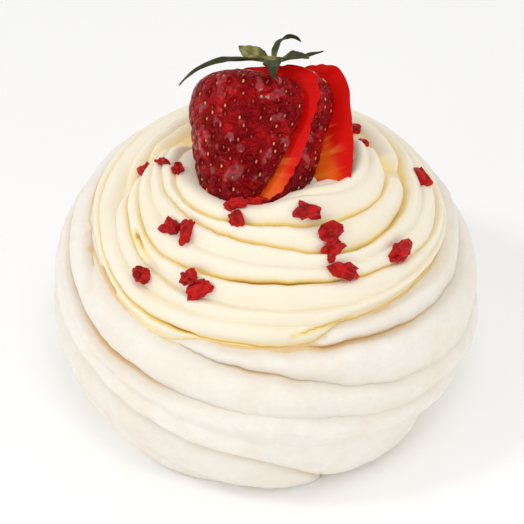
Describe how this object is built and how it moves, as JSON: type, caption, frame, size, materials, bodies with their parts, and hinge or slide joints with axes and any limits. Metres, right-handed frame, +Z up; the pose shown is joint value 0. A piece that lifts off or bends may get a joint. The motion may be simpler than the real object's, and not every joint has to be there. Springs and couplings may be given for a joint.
{
  "type": "mini pavlova with cream and strawberry",
  "caption": "Single-serve meringue nest piped in a ridged spiral, topped with a piped cream swirl and a fanned, sliced strawberry with its leaves.",
  "frame": {"origin": "centre of the flat underside of the meringue", "axes": "+Z up along the axis of the swirl; -Y is the front, towards which the uncovered side of the fruit faces"},
  "size_m": [0.0849, 0.0846, 0.076],
  "materials": {
    "meringue": "matte, dry baked meringue",
    "cream": "satin whipped cream",
    "strawberry": "wet, glazed fruit",
    "leaf": "dull leaf"
  },
  "bodies": {
    "root": {"meringue": "meringue", "cream": "cream", "strawberry_slice_front": "strawberry", "strawberry_slice_middle": "strawberry", "strawberry_slice_back": "strawberry", "strawberry_leaves": "leaf"}
  },
  "joints": []
}
